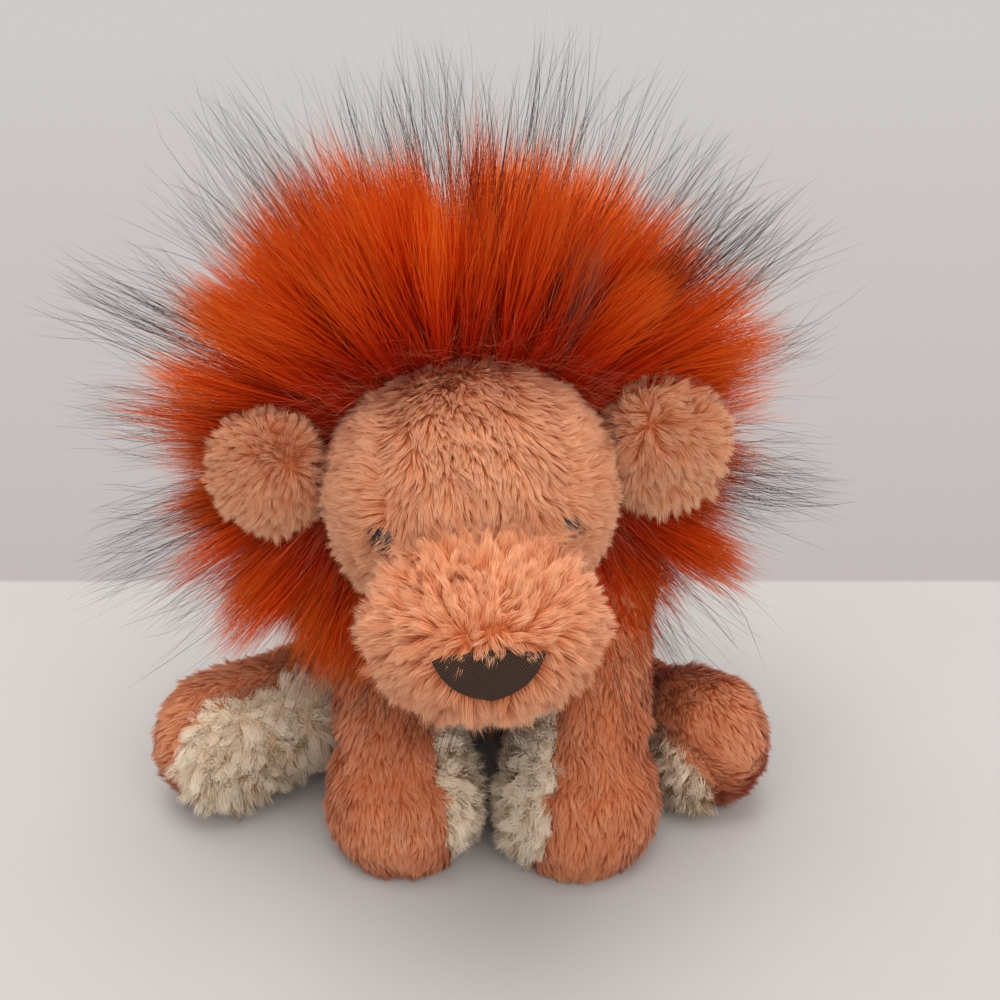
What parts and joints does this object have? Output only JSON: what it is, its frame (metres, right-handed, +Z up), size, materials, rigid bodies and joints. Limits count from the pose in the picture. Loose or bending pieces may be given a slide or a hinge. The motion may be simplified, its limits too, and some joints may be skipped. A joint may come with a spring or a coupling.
{
  "type": "plush lion",
  "caption": "Seated plush lion with a long-haired mane, splayed hind legs, round ears, woven nose and dome eyes; head, ears, legs and tail move.",
  "frame": {"origin": "middle of the flat seat under the rump, on the floor", "axes": "+X to the lion's own left, -Y the way it faces, +Z up"},
  "size_m": [0.2215, 0.2466, 0.2442],
  "materials": {
    "plush": "short knitted plush",
    "fleece": "curly cream fleece",
    "mane_pile": "long faux fur with dark tips",
    "mane_backing": "knitted fur backing",
    "filling": "polyester fibre filling",
    "pellets": "loose pellets in a cloth pouch",
    "nose_cloth": "diagonal weave",
    "eye_plastic": "polished dome",
    "washer_plastic": "moulded"
  },
  "bodies": {
    "torso": {"torso_back_panel": "plush", "torso_belly_panel": "fleece", "torso_stuffing": "filling", "rump_pellet_pouch": "pellets"},
    "head": {"forehead_panel": "plush", "face_side_panel_right": "plush", "face_side_panel_left": "plush", "throat_panel": "plush", "muzzle_panel": "plush", "head_stuffing": "filling", "mane_backing": "mane_backing", "nose": "nose_cloth", "eye_right": "eye_plastic", "eye_washer_right": "washer_plastic", "eye_left": "eye_plastic", "eye_washer_left": "washer_plastic", "mane_pile": "mane_pile"},
    "ear_right": {"ear_right_front_panel": "plush", "ear_right_back_panel": "plush"},
    "ear_left": {"ear_left_front_panel": "plush", "ear_left_back_panel": "plush"},
    "foreleg_right": {"foreleg_right_outer_panel": "plush", "foreleg_right_inner_panel": "fleece", "foreleg_right_stuffing": "filling"},
    "foreleg_left": {"foreleg_left_outer_panel": "plush", "foreleg_left_inner_panel": "fleece", "foreleg_left_stuffing": "filling"},
    "hindleg_right": {"hindleg_right_outer_panel": "plush", "hindleg_right_inner_panel": "fleece", "hindleg_right_stuffing": "filling"},
    "hindleg_left": {"hindleg_left_outer_panel": "plush", "hindleg_left_inner_panel": "fleece", "hindleg_left_stuffing": "filling"},
    "tail": {"tail_sleeve": "plush", "tail_tuft": "mane_pile"}
  },
  "joints": [
    {"name": "neck_nod", "type": "hinge", "parent": "torso", "child": "head", "pos_m": [-0.003, -0.045, 0.094], "axis": [1, 0, 0], "range_deg": [-8, 10], "stiffness_Nm_per_rad": 0.8},
    {"name": "ear_right_fold", "type": "hinge", "parent": "head", "child": "ear_right", "pos_m": [-0.05389, -0.07163, 0.13515], "axis": [-0.0383, -0.0029, 0.9993], "range_deg": [-8, 30], "stiffness_Nm_per_rad": 0.02},
    {"name": "ear_left_fold", "type": "hinge", "parent": "head", "child": "ear_left", "pos_m": [0.04175, -0.06444, 0.13884], "axis": [0.0383, 0.0029, -0.9993], "range_deg": [-8, 30], "stiffness_Nm_per_rad": 0.02},
    {"name": "foreleg_right_swing", "type": "hinge", "parent": "torso", "child": "foreleg_right", "pos_m": [-0.034, -0.042, 0.076], "axis": [-1, 0, 0], "range_deg": [0, 30]},
    {"name": "foreleg_left_swing", "type": "hinge", "parent": "torso", "child": "foreleg_left", "pos_m": [0.034, -0.042, 0.076], "axis": [-1, 0, 0], "range_deg": [0, 30]},
    {"name": "hindleg_right_splay", "type": "hinge", "parent": "torso", "child": "hindleg_right", "pos_m": [-0.042, -0.024, 0.025], "axis": [0, 0, -1], "range_deg": [-15, 15]},
    {"name": "hindleg_left_splay", "type": "hinge", "parent": "torso", "child": "hindleg_left", "pos_m": [0.036, -0.004, 0.025], "axis": [0, 0, 1], "range_deg": [0, 30]},
    {"name": "tail_swing", "type": "hinge", "parent": "torso", "child": "tail", "pos_m": [0, 0.036, 0.014], "axis": [0, 0, 1], "range_deg": [-30, 30]}
  ]
}
